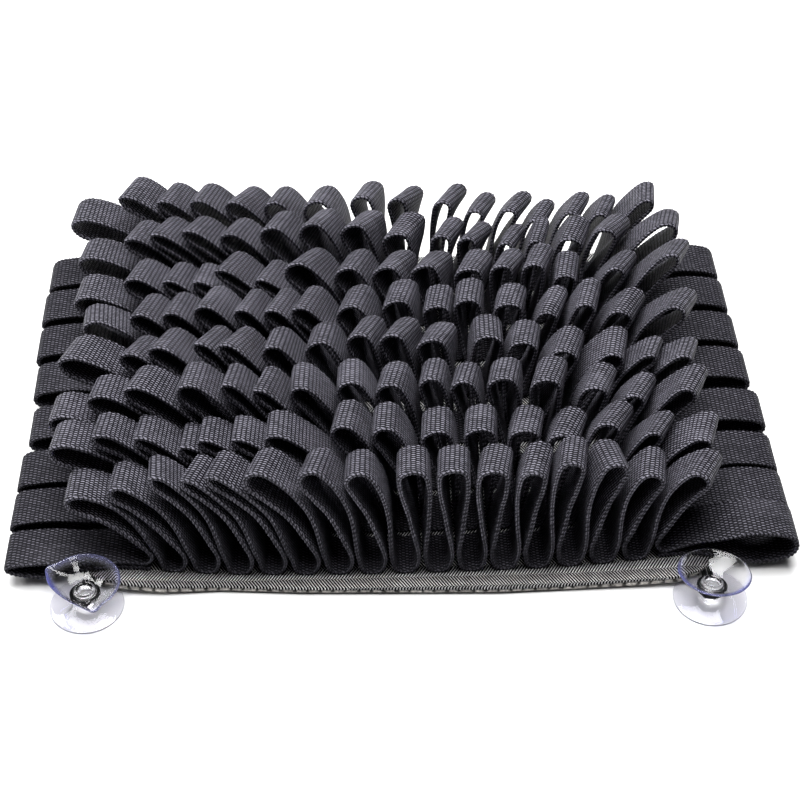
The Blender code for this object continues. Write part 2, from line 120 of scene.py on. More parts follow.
# One row per strap, front to back. y is its middle and bow how far it bulges
# forward in mid mat. left and right are its side loops: reach, height, droop and,
# for one that is pressed shut, throat. Then one column per loop, left to right:
# crown is where its top stands, twist how much farther right its back edge
# stands, tip how much higher its front edge stands, top its height and half its
# half width. The solids share these, but the last strap's loops 8 to 14 are a
# little narrower and more twisted here.
STRAPS = (
    dict(y=-96.3, bow=5, left=(199.5, 6.4, 3.2, 0.2), right=(202, 16.2, 4.4),
         crown=(-163.5, -141.5, -122, -103, -91, -71.5, -44.5, -22.5,
                5.5, 26.5, 48, 69, 87, 106.5, 129, 156),
         twist=(0, 1, -2, 7, 6, 6, 5, 1, 1, 2, 5, 7, 5, -3, 5, 12),
         tip=(4, 5, 9, 6, 6, 7, 8, 8, 6, 7, 6, 3, 6, 6, 5, 6),
         top=(50, 54, 62, 63, 66, 67, 68, 67, 69, 69, 68, 67, 71, 67, 57, 54),
         half=(5, 5, 4, 3, 3, 6.5, 6.5, 6.5, 7, 7, 7, 6, 6, 6, 6.5, 6.5)),
    dict(y=-68.3, bow=4, left=(200, 9, 2.4), right=(202, 13, 2.6),
         crown=(-172.5, -150.9, -129.8, -107.9, -98.3, -81.8, -64.5, -29,
                -9, 18, 41, 66, 88, 112, 136, 160.5),
         twist=(1, 1, 1, 1, 1, 1, 1, 4, 2, 2, 3, 6, 10, 13, 12, 8),
         tip=(5, 7, 7, 7, 7, 7, 6, 5, 5, 6, 6, 6, 5, 9, 9, 2),
         top=(59, 64.9, 63.6, 58.2, 63.1, 63.9, 66, 73, 71, 68, 69, 67, 63, 67, 58, 55),
         half=(6.5, 4, 3, 3, 3, 3, 5, 6, 6, 7, 7, 7, 7, 6.5, 4.5, 4.5)),
    dict(y=-39.3, bow=3, left=(200, 9.5, 2.2), right=(202, 12, 2.4),
         crown=(-177, -155, -134, -108, -86, -69, -51.5, -26,
                -4, 17.5, 34, 54.5, 79, 107, 129.5, 157),
         twist=(1, 2, 6, 3, 3, 6, 1, 1, 5, 4, 5, 5, 8, 10, 12, 11),
         tip=(6, 8, 7, 6, 8, 6, 5, 6, 6, 8, 9, 8, 6, 6, 8, 5),
         top=(52, 65, 71, 73, 74, 71, 72, 75, 73, 76, 73, 75, 74, 67, 59, 63),
         half=(6.5, 5.5, 5.5, 6.5, 3.5, 3, 5.5, 6.5, 6.5, 5.5, 5.5, 7, 7, 6.5, 5.5, 5.5)),
    dict(y=-4.8, bow=2, left=(198, 10, 2.2), right=(202, 11.5, 2.2),
         crown=(-172, -138.5, -123, -98.5, -85, -65, -40.5, -16.5,
                1.5, 21.5, 50.5, 71, 95.5, 121.5, 141, 160),
         twist=(6, 8, 8, 10, 11, 4, 4, 9, 11, 9, 1, 5, 8, 6, 8, 8),
         tip=(6, 9, 8, 9, 9, 8, 7, 8, 9, 9, 6, 6, 5, 2, 9, 9),
         top=(62, 63, 68, 71, 70, 68, 71, 76, 75, 71, 74, 69, 62, 59, 55, 54),
         half=(6.5, 5, 5, 3, 3, 5.5, 7, 6, 6, 7, 7, 7, 7, 6, 3.5, 4)),
    dict(y=30.2, bow=1, left=(199.5, 11, 2.0), right=(199.5, 11.5, 2.0),
         crown=(-166.5, -136.5, -119.5, -101, -80, -63.5, -48.5, -23,
                3, 24.5, 41, 65.5, 89.5, 109, 132, 162.5),
         twist=(-2, 7, 6, 8, 8, 9, 9, 7, 6, 4, 4, 6, 10, 7, 13, 12),
         tip=(9, 6, 6, 6, 6, 5, 5, 5, 5, 5, 5, 6, 2, 2, 5, 8),
         top=(55, 62, 63, 67, 65, 65, 66, 66, 70, 66, 70, 66, 61, 66, 58, 58),
         half=(6.5, 5, 4.5, 5.5, 4, 4, 4.5, 7, 7, 6.5, 6.5, 7, 5, 5, 6.5, 6.5)),
    dict(y=61.7, bow=0, left=(201.5, 11, 2.0), right=(198.5, 11, 2.0),
         crown=(-174, -143, -122, -106.5, -91, -70, -50.5, -23.5,
                0, 22, 47, 66, 83, 99.5, 132, 162),
         twist=(2, 6, 6, 4, 10, 9, 12, 9, 13, 12, 10, 11, 9, 5, 12, 11),
         tip=(4, 6, 7, 7, 7, 6, 9, 6, 7, 9, 6, 8, 5, 2, 8, 9),
         top=(48, 61, 60, 59, 67, 60, 68, 66, 66, 66, 65, 66, 68, 61, 62, 70),
         half=(6.5, 5.5, 3, 3, 3, 3, 7, 7, 7, 7, 7, 5.5, 5.5, 5.5, 5, 5)),
    dict(y=93.2, bow=0, left=(202, 11, 2.2), right=(197.5, 11, 2.0),
         crown=(-174.5, -144.5, -129, -111.5, -90, -66.5, -42.5, -17,
                8, 34.5, 50, 71.5, 87, 108.5, 130.5, 163.5),
         twist=(2, 7, 9, 8, 8, 8, 10, 13, 13, 11, 14, 11, 7, 9, 14, 6),
         tip=(6, 6, 7, 9, 8, 7, 8, 8, 3, 6, 8, 6, 2, 3, 9, 9),
         top=(50, 65, 68, 69, 66, 70, 72, 71, 67, 64, 61, 58, 61, 61, 64, 66),
         half=(6.5, 4.5, 3.5, 3.5, 5, 6.5, 7, 7, 7, 5, 4.5, 3.5, 3.5, 6.5, 6.5, 6.5)),
    dict(y=123.7, bow=0, left=(201, 10.5, 2.0), right=(196.5, 11, 2.0),
         crown=(-181, -149, -127.5, -109, -86.5, -66, -42, -13,
                10.5, 38, 56.5, 77.5, 92.5, 113, 129.5, 154),
         twist=(2, 8, 8, 7, 12, 7, 7, 9, 14, 13, 11, 13, 11, 11, 9, 4),
         tip=(3, 4, 5, 6, 7, 7, 7, 7, 9, 6, 6, 6, 4, 4, 5, 5),
         top=(55, 73, 69, 68, 66, 65, 65, 69, 66, 65, 58, 58, 51, 56, 54, 63),
         half=(6.5, 4, 3.5, 4.5, 4.5, 5.5, 7, 5.5, 4.5, 4.5, 4.5, 4.5, 4, 4, 4, 4)),
)

# A quarter of the webbing's section, from its edge over the top to its middle:
# share of the half width and share of the half thickness. The whole section goes
# once round, from the front edge over the top.
WEB_QUARTER = ((1.0, 0.0), (0.992, 0.55), (0.955, 0.9), (0.86, 1.0), (0.43, 1.0), (0.0, 1.0))
WEB_TOP = [(-wide, thick) for wide, thick in WEB_QUARTER] + list(WEB_QUARTER[-2:0:-1])
WEB_SECTION = np.array(WEB_TOP + [(-wide, -thick) for wide, thick in WEB_TOP])
BACK_EDGE = len(WEB_SECTION) // 2  # the point of the section at its back edge
SELVEDGE = 0.94  # past this share of the half width a face belongs to the edge
BEADED = 0.95  # past this share of the half width the ribs stand out as beads
FACED = 0.8  # past this share of the half thickness the ribs are raised
RIB_RAISE = 0.03  # by this share of the thickness
SPAN_STEPS = 12  # curve points between two points of a strap's line
BAKE_ROWS = 7  # the long strip is cut into rows on its flat map
BAKE_MARGIN, ROW_MARGIN = 0.001, 0.01


# ---------------------------------------------------------------- settings


class WebbingSettings(bpy.types.PropertyGroup):
    """Sizes and colours of the straps"""

    width: FloatProperty(
        name="Width", description="Width of the webbing", default=25.0 * MM, min=0.02, max=0.03,
        unit="LENGTH", precision=4)
    thick: FloatProperty(
        name="Thickness", description="Thickness of the webbing", default=2.4 * MM, min=0.001, max=0.003,
        unit="LENGTH", precision=4)
    pick: FloatProperty(
        name="Rib pitch", description="Length of strap from one cross rib to the next", default=2.2 * MM,
        min=0.001, max=0.005, unit="LENGTH", precision=4)
    yarns: FloatProperty(
        name="Yarns", description="Warp yarns across the width", default=27.0, min=9, max=41)
    slant: FloatProperty(
        name="Slant", description="How far a raised yarn leans across its own length", default=0.6,
        min=-2, max=2)
    bead: FloatProperty(
        name="Edge beading", description="How far the edge stands out at each rib", default=0.32 * MM,
        min=0, max=0.001, unit="LENGTH", precision=5)
    colour: FloatVectorProperty(
        name="Colour", description="Colour of the raised yarn", subtype="COLOR",
        default=(0.262, 0.254, 0.306), min=0, max=1)
    # Painted shade: the near-black colour down between the yarns stands in for the shade in the weave's gaps
    deep: FloatVectorProperty(
        name="Deep colour", description="Colour down between the yarns", subtype="COLOR",
        default=(0.006, 0.0058, 0.008), min=0, max=1)


class BaseSettings(bpy.types.PropertyGroup):
    """Pattern and colours of the base sheets"""

    band: FloatProperty(
        name="Herringbone band", description="Depth of one band of the herringbone", default=6.6 * MM,
        min=0.002, max=0.02, unit="LENGTH", precision=4)
    stripe: FloatProperty(
        name="Stripe pitch", description="Distance along the band between two light stripes",
        default=1.54 * MM, min=0.0005, max=0.005, unit="LENGTH", precision=4)
    slope: FloatProperty(
        name="Stripe slope", description="How far a stripe leans along X per distance in Y", default=0.62,
        min=0.2, max=1.5)
    light: FloatVectorProperty(
        name="Light yarn", description="Colour of the light yarn", subtype="COLOR", default=(1.0, 1.0, 1.0),
        min=0, max=1)
    dark: FloatVectorProperty(
        name="Dark yarn", description="Colour of the dark yarn", subtype="COLOR",
        default=(0.006, 0.006, 0.007), min=0, max=1)
    felt: FloatVectorProperty(
        name="Felt", description="Colour of the felt backing", subtype="COLOR", default=SLOT_COLOURS["felt"],
        min=0, max=1)


class CupSettings(bpy.types.PropertyGroup):
    """Size and colours of the cups and their elastic"""

    radius: FloatProperty(
        name="Disc radius", description="Radius of a suction disc", default=DISC_RADIUS * MM,
        min=0.01, max=0.03, unit="LENGTH", precision=4)
    tint: FloatVectorProperty(
        name="Tint", description="Tint of the clear vinyl", subtype="COLOR", default=(0.93, 0.925, 0.95),
        min=0, max=1)
    elastic: FloatVectorProperty(
        name="Elastic", description="Colour of the elastic", subtype="COLOR", default=SLOT_COLOURS["elastic"],
        min=0, max=1)


class StageSettings(bpy.types.PropertyGroup):
    """Floor colour and light"""

    floor: FloatVectorProperty(
        name="Floor", description="Colour of the floor", subtype="COLOR", default=(0.8, 0.8, 0.8),
        min=0, max=1)
    key: FloatProperty(
        name="Key light", description="Power of the big softbox overhead", default=112.0, min=0,
        unit="POWER")
    glint: FloatProperty(
        name="Glint light", description="Power of the small softbox in front that draws a streak on the cups",
        default=2.6, min=0, unit="POWER")
    side: FloatProperty(
        name="Side light", description="Power of the smaller softbox at the back left", default=8.0, min=0,
        unit="POWER")
    sky: FloatProperty(
        name="Surroundings", description="Brightness of the white surroundings", default=0.035, min=0)


# ---------------------------------------------------------------- shapes


def ease(t):
    t = np.clip(t, 0.0, 1.0)
    return t * t * (3.0 - 2.0 * t)


def between(table, x):
    return np.interp(x, [row[0] for row in table], [row[1] for row in table])


def lift(x, y):
    """How far the front corners ride up on the lower suction discs."""
    far = np.hypot(np.maximum(0.0, BASE_HALF - LIFT_INSET - np.abs(x)), y - LIFT_Y)
    return CORNER_LIFT * (1.0 - ease(far / LIFT_REACH))


def bow(strap, x):
    """Sideways drift of a strap: forward in mid mat, back at its outer seams."""
    wide = np.minimum(1.0, np.abs(x) / BOW_HALF)
    return strap["bow"] * (wide * wide - BOW_LEVEL) * (1.0 - ease((np.abs(x) - BOW_HALF) / BOW_FADE))


def lean_back(height):
    """How far back a strap stands at this height."""
    return BACK_LEAN * ease((height - BACK_FROM) / BACK_BEND)


def seam_x(number):
    return FIRST_SEAM + SEAM_PITCH * number


def upright_loop(number, crown, top, half):
    """Middle line of one standing loop in X and Z, from seam to seam."""
    foot_x = (seam_x(number) + seam_x(number + 1)) / 2
    neck = Vector((foot_x, NECK_HEIGHT))
    peak = Vector((crown, top - SOLID_THICK / 2))
    bend = Vector((foot_x + NECK_LEAN * (crown - foot_x), NECK_HEIGHT + NECK_RISE * (top - NECK_HEIGHT)))
    left, right = [], []
    for along, open_share in LEG_SHAPE:
        spot = (1 - along) ** 2 * neck + 2 * along * (1 - along) * bend + along ** 2 * peak
        way = ((1 - along) * (bend - neck) + along * (peak - bend)).normalized()
        side = Vector((-way.y, way.x)) * (NECK_HALF + (half - NECK_HALF) * open_share)
        left.append(spot + side)
        right.append(spot - side)
    first_z = OUTER_SEAM_Z if number == 0 else SEAM_Z
    last_z = OUTER_SEAM_Z if number == SEAMS - 2 else SEAM_Z
    start = Vector((seam_x(number) + SEAM_HALF, first_z))
    end = Vector((seam_x(number + 1) - SEAM_HALF, last_z))
    return [start, *left, peak, *reversed(right), end]


def side_loop(sign, reach, height, droop, throat=1.0):
    """Middle line of the loop that lies outward, from the strap's end to the seam."""
    root = abs(seam_x(0) if sign < 0 else seam_x(SEAMS - 1))
    length, tip = reach - root, reach - SOLID_THICK / 2
    line = [(root - TURN_UNDER, SEAM_Z)]
    line += [(root + length * out, SEAM_Z - droop * share) for out, share in SIDE_DROOP]
    line += [(tip - inward, SEAM_Z + share * height) for inward, share in SIDE_TURN]
    for out, share in SIDE_TOP:
        narrow = throat if out < THROAT_TO else 1.0
        line.append((root + length * out, max(OUTER_SEAM_Z, SEAM_Z + share * narrow * height)))
    line.append((root + SIDE_FOOT, OUTER_SEAM_Z))
    return [Vector((sign * x, z)) for x, z in line]


def strap_line(strap, across):
    """The strap's middle line; across is 0 at its front edge and 1 at its back."""
    line = side_loop(-1, *strap["left"])
    for number in range(SEAMS - 1):
        crown = strap["crown"][number] + strap["twist"][number] * (across - 0.5)
        top = strap["top"][number] - strap["tip"][number] * (across - 0.5)
        line += upright_loop(number, crown, top, strap["half"][number])
    return line + side_loop(1, *strap["right"])[::-1]


def smooth(points, steps):
    """A smooth curve through the points, which eases round short spans."""
    p = np.array([tuple(point) for point in points])
    p = np.vstack([2 * p[0] - p[1], p, 2 * p[-1] - p[-2]])
    gap = np.sqrt(np.maximum(np.linalg.norm(np.diff(p, axis=0), axis=1), 1e-6))[:, None]
    before, span, after = gap[:-2], gap[1:-1], gap[2:]
    a, b, c, d = p[:-3], p[1:-2], p[2:-1], p[3:]
    leave = span * ((b - a) / before - (c - a) / (before + span) + (c - b) / span)
    arrive = span * ((c - b) / span - (d - b) / (span + after) + (d - c) / after)
    t = (np.arange(steps) / steps)[None, :, None]
    b, c, leave, arrive = (v[:, None, :] for v in (b, c, leave, arrive))
    curve = ((2 * t**3 - 3 * t**2 + 1) * b + (t**3 - 2 * t**2 + t) * leave
             + (3 * t**2 - 2 * t**3) * c + (t**3 - t**2) * arrive)
    return np.vstack([curve.reshape(-1, p.shape[1]), p[-2]])


def lengths_along(line):
    return np.concatenate([[0.0], np.cumsum(np.linalg.norm(np.diff(line, axis=0), axis=1))])


def resampled(lines, step):
    """The lines at even steps along the first one's length, and those lengths."""
    along = lengths_along(lines[0])
    count = int(round(along[-1] / step))
    even = np.linspace(0.0, along[-1], count + 1)
    return [np.column_stack([np.interp(even, along, column) for column in line.T]) for line in lines], even


def unit(v):
    return v / np.maximum(np.linalg.norm(v, axis=-1, keepdims=True), 1e-12)


# ---------------------------------------------------------------- meshes


def make_piece(name, verts, faces, materials):
    """A smooth mesh object from millimetre points, on the mat's body."""
    mesh = bpy.data.meshes.new(name)
    mesh.from_pydata((np.asarray(verts) * MM).tolist(), [], [tuple(face) for face in faces])
    mesh.shade_smooth()
    for mat in materials:
        mesh.materials.append(mat)
    piece = bpy.data.objects.new(name, mesh)
    bpy.context.collection.objects.link(piece)
    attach(piece, "root")
    return piece


def wall_corners(stations, around):
    """For each corner of each wall face of a tube: its ring, and its place round it."""
    k, j = (part.ravel() for part in np.meshgrid(np.arange(stations - 1), np.arange(around), indexing="ij"))
    return np.column_stack([k, k + 1, k + 1, k]), np.column_stack([j, j, j + 1, j + 1])


def closed_tube(rings, turned_over=False):
    """Points and faces of a tube of rings with flat ends, and its wall corners."""
    stations, around = rings.shape[:2]
    corner_k, corner_j = wall_corners(stations, around)
    ends = [list(range(around))[::-1], list(range((stations - 1) * around, stations * around))]
    if turned_over:
        corner_k, corner_j = corner_k[:, ::-1], corner_j[:, ::-1]
        ends = [end[::-1] for end in ends]
    faces = corner_k * around + corner_j % around
    return rings.reshape(-1, 3), faces.tolist() + ends, corner_k, corner_j


def add_map(mesh, name, u, v, ends_at=0.0):
    """A flat map from the wall corners; both ends of the tube sit at one spot of it."""
    walls = np.stack([u, v], axis=-1).reshape(-1, 2)
    ends = np.full((len(mesh.loops) - len(walls), 2), ends_at)
    layer = mesh.uv_layers.new(name=name)
    layer.data.foreach_set("uv", np.vstack([walls, ends]).astype(np.float32).ravel())


def build_strap(number, strap, web, materials):
    """One strap as a smooth strip that turns and twists through its loops."""
    thick, width, pick = web.thick / MM, web.width / MM, web.pick / MM
    front, back = (smooth(strap_line(strap, across), SPAN_STEPS) for across in (0.0, 1.0))
    (_, front, back), along = resampled([(front + back) / 2, front, back], pick / 2)
    wide, deep = WEB_SECTION.T
    across = wide * 0.5  # -0.5 at the front edge
    share = across[None, :, None] * (SOLID_WIDTH / width) + 0.5
    flat = front[:, None, :] * (1 - share) + back[:, None, :] * share
    x, z = flat[..., 0], flat[..., 1]
    y = strap["y"] + across[None, :] * width + bow(strap, x) + lean_back(z)
    spots = np.stack([x, y, z + lift(x, y)], axis=-1)
    tangent = unit(np.gradient(spots, axis=0))
    sideways = unit(np.broadcast_to(spots[:, BACK_EDGE:BACK_EDGE + 1] - spots[:, :1], spots.shape))
    normal = unit(np.cross(tangent, sideways))
    # Every second ring is a rib, raised on the faces and standing out as a bead at the edges.
    rib = np.where(np.arange(len(along)) % 2 == 0, 1.0, -1.0)[:, None]
    bead = np.sign(wide) * (np.abs(wide) > BEADED) * web.bead / MM
    raised = np.sign(deep) * (np.abs(deep) > FACED) * RIB_RAISE * thick
    out = deep * thick / 2 + raised * rib
    rings = spots + normal * out[..., None] + sideways * (bead * rib)[..., None]
    verts, faces, corner_k, corner_j = closed_tube(rings)
    piece = make_piece("webbing_strap_%d" % number, verts, faces, materials)
    mesh = piece.data
    # Two flat maps: one in real lengths for the weave, one in rows for baking.
    outline = WEB_SECTION * (width / 2, thick / 2)
    rim = lengths_along(np.vstack([outline, outline[:1]]))
    u, v = along[corner_k], rim[corner_j]
    add_map(mesh, "weave", u * MM, v * MM)
    per_row = math.ceil((len(along) - 1) / BAKE_ROWS)
    row = corner_k.min(axis=1, keepdims=True) // per_row
    bake_u = (corner_k - row * per_row) / per_row * (1 - 2 * BAKE_MARGIN) + BAKE_MARGIN
    bake_v = (row + v / rim[-1] * (1 - 2 * ROW_MARGIN) + ROW_MARGIN) / BAKE_ROWS
    add_map(mesh, "OFBake", bake_u, bake_v, ends_at=BAKE_MARGIN / 2)
    mesh.uv_layers.active = mesh.uv_layers["weave"]
    on_edge = np.abs(wide[corner_j % len(wide)]).mean(axis=1) > SELVEDGE
    mesh.polygons.foreach_set("material_index", np.append(on_edge, [True, True]).astype(np.int32))
    mesh.update()
    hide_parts("strap_%d" % number)
    return piece


def base_grid(columns, rows):
    """X and Y of a grid over the base sheet, closer together at its edges."""
    t = np.linspace(-1.0, 1.0, columns)
    x = BASE_HALF * ((1 + SIDE_CROWDING) * t - SIDE_CROWDING * t**3)
    front = between(FRONT_EDGE, x)
    over = np.maximum(0.0, np.abs(x) - (BASE_HALF - CORNER_RADIUS)) / CORNER_RADIUS
    back = BASE_BACK - CORNER_RADIUS * (1.0 - np.sqrt(np.maximum(0.0, 1.0 - over**2)))
    share = np.linspace(0.0, 1.0, rows) ** FRONT_CROWDING
    y = front[None, :] + (back - front)[None, :] * share[:, None]
    return np.broadcast_to(x, y.shape), y


def build_sheet(name, under, thick, grid, ripple, mat, node, keep=None):
    """A laid sheet with rounded cut edges. keep(x, y) says which faces stay."""
    columns, rows = grid
    x, y = base_grid(columns, rows)
    # A long and a short ripple cross; each divisor is the millimetres to one radian.
    wave = ripple * (np.sin(x / 17.0 + 1.3) * np.sin(y / 23.0) + 0.6 * np.sin(x / 7.3 + y / 11.0))
    middle = under + thick / 2 + lift(x, y)
    row, column = np.indices(y.shape)
    from_edge = np.minimum(np.minimum(row, rows - 1 - row), np.minimum(column, columns - 1 - column))
    half = thick / 2 * np.where(from_edge == 0, CUT_EDGE, 1.0)
    top = np.stack([x, y, middle + half + np.where(from_edge > 1, wave, 0.0)], axis=-1)
    low = np.stack([x, y, middle - half], axis=-1)
    verts = np.vstack([top.reshape(-1, 3), low.reshape(-1, 3)])
    index = np.arange(rows * columns).reshape(rows, columns)
    cells = np.stack([index[:-1, :-1], index[:-1, 1:], index[1:, 1:], index[1:, :-1]], axis=-1).reshape(-1, 4)
    if keep is not None:
        spot = verts[cells].mean(axis=1)
        cells = cells[keep(spot[:, 0], spot[:, 1])]
    faces = cells.tolist() + (cells[:, ::-1] + rows * columns).tolist()
    # Walls round every open side
    sides = np.vstack([cells[:, [i, (i + 1) % 4]] for i in range(4)])
    taken = {tuple(side) for side in sides.tolist()}
    for a, b in sides.tolist():
        if (b, a) not in taken:
            faces.append([b, a, a + rows * columns, b + rows * columns])
    used = np.unique(np.concatenate([np.array(face) for face in faces]))
    renumber = {int(old): new for new, old in enumerate(used)}
    faces = [[renumber[corner] for corner in face] for face in faces]
    piece = make_piece(name, verts[used], faces, [mat])
    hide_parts(node)
    return piece


def away_from_notches(x, y):
    """Which spots of the felt lie clear of the notches for the elastics' ends."""
    clear = np.ones(len(x), dtype=bool)
    for cup_x, cup_y in CUPS.values():
        back = y - cup_y - RING_RADIUS
        clear &= ~((np.abs(x - cup_x) < NOTCH_HALF) & (back > 0) & (back < NOTCH_DEEP))
    return clear


# Outlines of a cup in radius and height. The lower disc is turned from its hollow
# out to its rim and up the neck; the upper one on from there to the knob.
LOWER_DISC = ((0, 1.5), (4, 1.42), (8, 1.2), (12, 0.9), (15.5, 0.5), (17.6, 0.12), (18.2, 0.0),
              (18.5, 0.12), (18.55, 0.38), (18.2, 0.62), (16.5, 0.95), (14, 1.45), (11, 1.85),
              (8, 2.25), (6, 2.6), (5.1, 3.1), (NECK_RADIUS, 3.9))
UPPER_DISC = ((NECK_RADIUS, 9.0), (5.0, 10.0), (6, 10.55), (8, 11.05), (11, 12.4), (14, 14.25),
              (17, 16.35), (18.2, 17.45), (18.5, 17.95), (18.3, 18.25), (17.8, 18.0), (16.5, 17.0),
              (14, 15.3), (11, 13.55), (8, 12.15), (6, 11.75), (4.95, 11.85), (4.75, 12.5),
              (4.4, 12.75), (3.9, 12.6), (3.6, 12.0), (3.0, 11.75), (0, 11.7))
CUP_SIDES = 96
# The left cup's upper disc is creased along a chord and its flap stands up. The
# ends of the crease are drawn out, from this far aside, over this much more, and
# this far to both sides of the chord. Distances from the cup's middle, angles in
# degrees.
FOLD_AWAY, FOLD_TOWARDS, FOLD_ANGLE, FOLD_ROUND = 8.2, 222.0, 38.0, 1.5
ENDS_DRAWN, ENDS_FROM, ENDS_OVER, ENDS_WIDE = 3.4, 10.0, 7.5, 4.5
# The right one's is tipped back and to its side about this height of the neck,
# and the bend starts a little below it and eases in.
TIP_BACK, TIP_SIDE, TIP_FROM, TIP_BELOW, TIP_EASE = 10.0, 4.0, 10.5, 1.0, 1.5


def turned(outline, x, y, radius):
    """Points of a turned outline, ring by ring, its disc widened to this radius."""
    turn = 2 * math.pi * np.arange(CUP_SIDES) / CUP_SIDES
    widen = (radius - NECK_RADIUS) / (DISC_RADIUS - NECK_RADIUS)
    rings = []
    for r, height in outline:
        r += max(0.0, r - NECK_RADIUS) * (widen - 1.0)
        z = np.full(CUP_SIDES, height)
        rings.append(np.column_stack([x + r * np.cos(turn), y + r * np.sin(turn), z]))
    return np.array(rings)


def fold_flap(spots, x, y):
    """Folds what lies past the chord up."""
    turn, angle = math.radians(FOLD_TOWARDS), math.radians(FOLD_ANGLE)
    towards, aside = (math.cos(turn), math.sin(turn)), (-math.sin(turn), math.cos(turn))
    from_x, from_y = spots[..., 0] - x, spots[..., 1] - y
    past = from_x * towards[0] + from_y * towards[1] - FOLD_AWAY
    sideways = from_x * aside[0] + from_y * aside[1]
    turned_by = np.clip(past / FOLD_ROUND, 0.0, angle)
    bent = np.maximum(0.0, past - FOLD_ROUND * angle)
    shift = np.where(past > 0, FOLD_ROUND * np.sin(turned_by) + bent * math.cos(angle) - past, 0.0)
    rise = np.where(past > 0, FOLD_ROUND * (1 - np.cos(turned_by)) + bent * math.sin(angle), 0.0)
    near_end = ease((np.abs(sideways) - ENDS_FROM) / ENDS_OVER)
    drawn = ENDS_DRAWN * np.sign(sideways) * near_end * np.exp(-(past / ENDS_WIDE) ** 2)
    out = spots.copy()
    out[..., 0] += towards[0] * shift + aside[0] * drawn
    out[..., 1] += towards[1] * shift + aside[1] * drawn
    out[..., 2] += rise
    return out


def tip_disc(spots, x, y):
    """Tips the disc about the neck: its front up, its right side a little down."""
    back, side = math.tan(math.radians(TIP_BACK)), math.tan(math.radians(TIP_SIDE))
    above = spots[..., 2] - TIP_FROM
    share = ease((above + TIP_BELOW) / TIP_EASE)
    out = spots.copy()
    out[..., 0] += share * above * side
    out[..., 1] += share * above * back
    out[..., 2] -= share * ((spots[..., 1] - y) * back + (spots[..., 0] - x) * side)
    return out


def build_cup(side, mat, radius):
    """One double-sided cup, turned in one piece with its neck and knob."""
    x, y = CUPS[side]
    upper = turned(UPPER_DISC, x, y, radius)
    upper = fold_flap(upper, x, y) if side == "left" else tip_disc(upper, x, y)
    rings = np.concatenate([turned(LOWER_DISC, x, y, radius), upper])
    # The first and last rings are single middle points, listed before the others.
    bottom, top, listed = 0, 1, 2
    verts = np.vstack([rings[0, 0], rings[-1, 0], rings[1:-1].reshape(-1, 3)])
    corner_k, corner_j = wall_corners(len(rings) - 2, CUP_SIDES)
    faces = (listed + corner_k * CUP_SIDES + corner_j % CUP_SIDES)[:, ::-1].tolist()
    last = len(verts) - CUP_SIDES
    for i in range(CUP_SIDES):
        n = (i + 1) % CUP_SIDES
        faces.append([bottom, listed + n, listed + i])
        faces.append([top, last + i, last + n])
    piece = make_piece("cup_" + side, verts, faces, [mat])
    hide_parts("suction_cup_" + side)
    return piece


def elastic_line(x, y):
    """Round the neck and back, its two ends side by side in the base."""
    apart = (ELASTIC_THICK + TAILS_APART) / 2
    start = math.asin(apart / RING_RADIUS) * RING_OPEN
    under = CLOTH_UNDER - SEAT - ELASTIC_THICK / 2 - ELASTIC_EASE
    tail = []
    for step in range(TAIL_STEPS + 1):
        back = RING_RADIUS + TAIL_FROM + (TAIL_LENGTH - TAIL_FROM) * (TAIL_STEPS - step) / TAIL_STEPS
        tail.append((apart, back, float(lift(x, y + back)) + under))
    ring = []
    for step in range(RING_STEPS + 1):
        turn = start + (2 * math.pi - 2 * start) * step / RING_STEPS
        side, back = RING_RADIUS * math.sin(turn), RING_RADIUS * math.cos(turn)
        ring.append((side, back, RING_BACK_Z + (RING_FRONT_Z - RING_BACK_Z) * (0.5 - 0.5 * math.cos(turn))))
    line = tail + ring + [(-side, back, height) for side, back, height in reversed(tail)]
    return [(x + side, y + back, height) for side, back, height in line]


def build_elastic(side, mat):
    """The elastic loop as a round cord along its line."""
    (path,), along = resampled([smooth(elastic_line(*CUPS[side]), ELASTIC_SPAN_STEPS)], ELASTIC_STEP)
    tangent = unit(np.gradient(path, axis=0))
    up = np.zeros_like(path)
    guide = np.array([0.0, 0.0, 1.0])
    for i, way in enumerate(tangent):
        guide = unit(guide - way * np.dot(guide, way))
        up[i] = guide
    aside = np.cross(tangent, up)
    turn = (2 * math.pi * np.arange(ELASTIC_SIDES) / ELASTIC_SIDES)[None, :, None]
    radius = ELASTIC_THICK / 2 - ELASTIC_EASE
    rings = path[:, None] + radius * (up[:, None] * np.cos(turn) + aside[:, None] * np.sin(turn))
    verts, faces, corner_k, corner_j = closed_tube(rings, turned_over=True)
    piece = make_piece("elastic_" + side, verts, faces, [mat])
    add_map(piece.data, "braid", along[corner_k] / BRAID_PITCH, corner_j / ELASTIC_SIDES)
    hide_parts("elastic_loop_" + side)
    return piece


# ---------------------------------------------------------------- materials

UP, DOWN = (0.0, 1.0), (1.0, 0.0)


